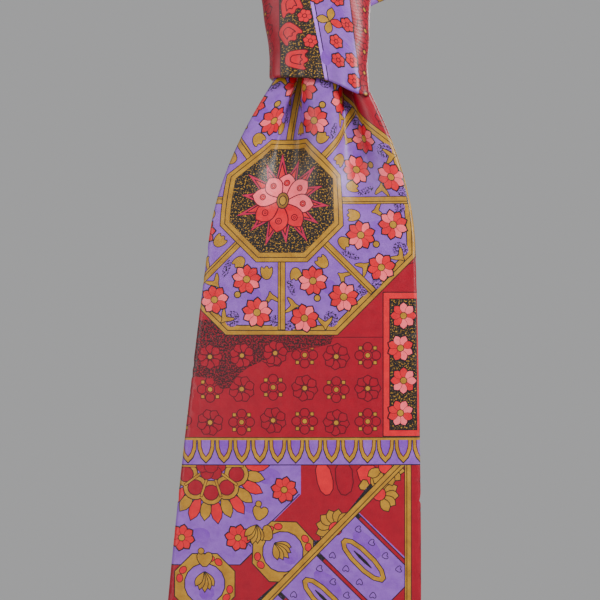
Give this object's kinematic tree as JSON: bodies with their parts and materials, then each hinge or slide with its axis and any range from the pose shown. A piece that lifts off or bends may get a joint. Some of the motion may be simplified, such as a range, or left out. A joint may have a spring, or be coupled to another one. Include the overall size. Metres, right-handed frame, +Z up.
{
  "type": "necktie",
  "caption": "Wide printed silk necktie, tied in a four-in-hand knot, with its neck loop, lined pointed front blade and narrower tail.",
  "frame": {"origin": "middle of the neck opening, level with the top of the knot", "axes": "+Z up along the hanging tie, -Y out of the front of the tie, +X to the right seen from the front"},
  "size_m": [0.1272, 0.1632, 0.535],
  "materials": {
    "printed_silk": "printed silk twill with a soft sheen, crimson, lilac, coral and gold on black",
    "interlining_wool": "brushed plain-weave wool, unbleached",
    "tipping_silk": "plain dark crimson lining silk",
    "silk_thread": "twisted silk sewing thread",
    "label_tape": "plain woven tape with no lettering"
  },
  "bodies": {
    "neck_loop": {"neck_piece_shell": "printed_silk", "live_strap_shell": "printed_silk", "tail_strap_shell": "printed_silk", "piecing_seams": "printed_silk", "neck_interlining": "interlining_wool"},
    "knot": {"knot_wrap": "printed_silk", "knot_hood": "printed_silk", "knot_first_turn": "printed_silk", "knot_riser": "printed_silk", "throat_shell": "printed_silk", "throat_interlining": "interlining_wool"},
    "front_blade": {"front_blade_shell": "printed_silk", "front_blade_interlining": "interlining_wool", "front_slip_stitch": "silk_thread", "keeper_loop": "tipping_silk", "keeper_tacks": "silk_thread"},
    "front_tip": {"front_tip_shell": "printed_silk", "front_tip_interlining": "interlining_wool", "front_tip_slip_stitch": "silk_thread", "front_bar_tack": "silk_thread", "front_tipping": "tipping_silk", "maker_label": "label_tape"},
    "tail_end": {"tail_end_shell": "printed_silk", "tail_end_interlining": "interlining_wool", "tail_slip_stitch": "silk_thread", "tail_bar_tack": "silk_thread", "tail_tipping": "tipping_silk", "stitch_reserve_loop": "silk_thread", "care_label": "label_tape"}
  },
  "joints": [
    {"name": "knot_slide", "type": "slide", "parent": "neck_loop", "child": "knot", "axis": [0, 0, -1], "range_m": [0, 0.12]},
    {"name": "front_blade_lift", "type": "hinge", "parent": "knot", "child": "front_blade", "pos_m": [0, -0.0946, -0.0465], "axis": [-1, 0, 0], "range_deg": [0, 75]},
    {"name": "front_blade_fold", "type": "hinge", "parent": "front_blade", "child": "front_tip", "pos_m": [0, -0.0946, -0.296], "axis": [-1, 0, 0], "range_deg": [0, 90]},
    {"name": "tail_lift", "type": "hinge", "parent": "neck_loop", "child": "tail_end", "pos_m": [0, -0.0806, -0.175], "axis": [1, 0, 0], "range_deg": [0, 60]}
  ]
}
